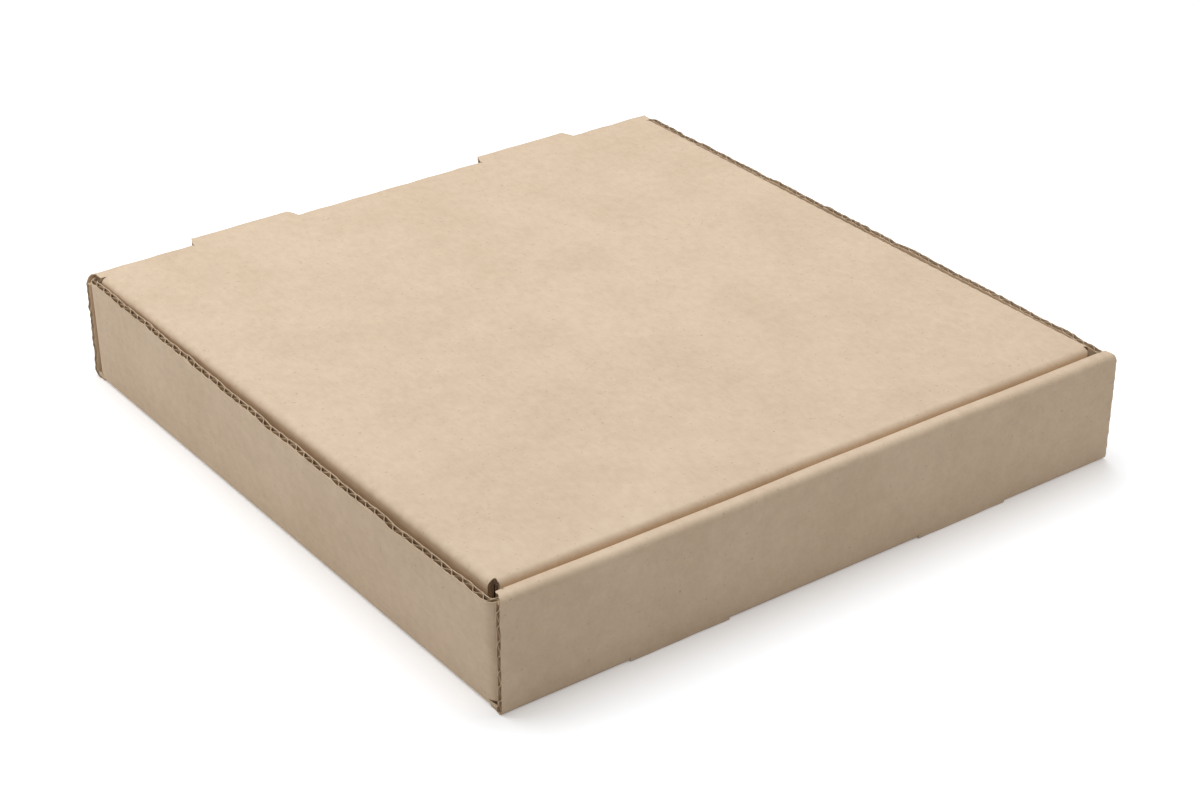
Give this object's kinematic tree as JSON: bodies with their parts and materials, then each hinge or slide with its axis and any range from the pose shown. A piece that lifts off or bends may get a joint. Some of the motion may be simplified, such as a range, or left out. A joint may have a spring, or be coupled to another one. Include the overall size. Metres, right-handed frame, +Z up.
{
  "type": "pizza box",
  "caption": "Square corrugated kraft pizza box: a folded tray with a double front wall and a lid hinged at the back that tucks inside it.",
  "frame": {"origin": "on the ground, under the middle of the closed box's outline, back tabs included", "axes": "+X to the right along the front wall, +Y from the front wall to the back wall, +Z up"},
  "size_m": [0.3208, 0.329, 0.051],
  "materials": {
    "kraft_board": "plain unbleached kraft liner, matte"
  },
  "bodies": {
    "tray": {"tray": "kraft_board"},
    "lid": {"lid": "kraft_board"}
  },
  "joints": [
    {"name": "lid_hinge", "type": "hinge", "parent": "tray", "child": "lid", "pos_m": [0, 0.159, 0.0495], "axis": [-1, 0, 0], "range_deg": [0, 180]}
  ]
}
